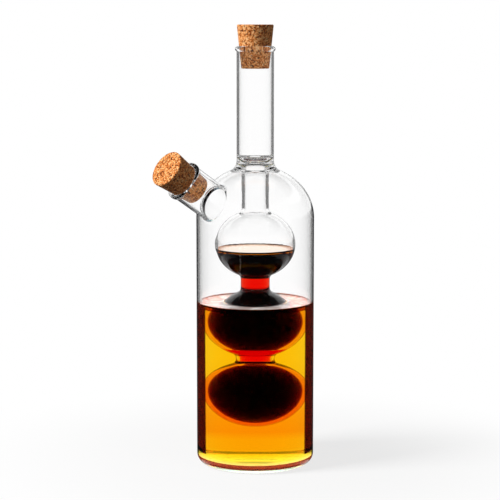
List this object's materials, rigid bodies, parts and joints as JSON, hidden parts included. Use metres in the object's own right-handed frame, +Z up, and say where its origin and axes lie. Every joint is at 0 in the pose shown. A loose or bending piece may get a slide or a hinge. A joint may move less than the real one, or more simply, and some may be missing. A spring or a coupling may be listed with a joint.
{
  "type": "oil and vinegar bottle",
  "caption": "Corked glass bottle with a bulbed inner vessel: oil stands round it and pours from a slanted side spout, vinegar inside pours from the neck.",
  "frame": {"origin": "middle of the foot, on the plane that the bottle stands on, on the axis of body and neck", "axes": "+Z up along the bottle's axis to the neck; +Y the side that the slanted spout leans to; +X completes the right-handed frame"},
  "size_m": [0.07, 0.1066, 0.2618],
  "materials": {
    "clear_glass": "clear fire-polished blown glass",
    "oil": "clear amber cooking oil, still surface",
    "vinegar": "near-black dark red vinegar, still surface",
    "cork": "pressed granulated cork, dry and matte"
  },
  "bodies": {
    "root": {"glass": "clear_glass", "oil": "oil", "vinegar": "vinegar", "neck_cork": "cork", "spout_cork": "cork"}
  },
  "joints": []
}
